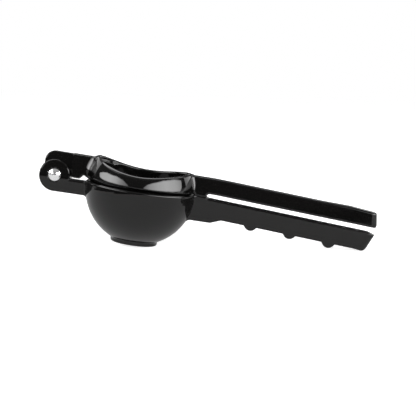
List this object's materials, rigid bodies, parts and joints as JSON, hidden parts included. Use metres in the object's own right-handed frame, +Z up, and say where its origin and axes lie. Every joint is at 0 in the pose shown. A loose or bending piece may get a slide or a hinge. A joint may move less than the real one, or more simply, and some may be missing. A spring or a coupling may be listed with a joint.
{
  "type": "hinged lemon squeezer",
  "caption": "Hand press for citrus halves: a perforated bowl with foot ring and a hollow press dome, each cast with its long handle and joined by a riveted fork hinge.",
  "frame": {"origin": "middle of the part's footprint, on the table that the foot ring and the handle tip rest on", "axes": "+Z up, +X along the handles from the hinge to their free ends, +Y across the part, away from the side that is pictured"},
  "size_m": [0.2122, 0.0692, 0.0589],
  "materials": {
    "lower_enamel": "gloss black enamel on cast aluminium",
    "upper_enamel": "gloss black enamel on cast aluminium",
    "rivet_plating": "polished nickel or chrome plating"
  },
  "bodies": {
    "bowl": {"strainer_cup": "lower_enamel", "hinge_rivet": "rivet_plating"},
    "press": {"press_cup": "upper_enamel"}
  },
  "joints": [
    {"name": "rivet_hinge", "type": "hinge", "parent": "bowl", "child": "press", "pos_m": [-0.09629, 0, 0.04413], "axis": [0, -1, 0], "range_deg": [0, 180]}
  ]
}
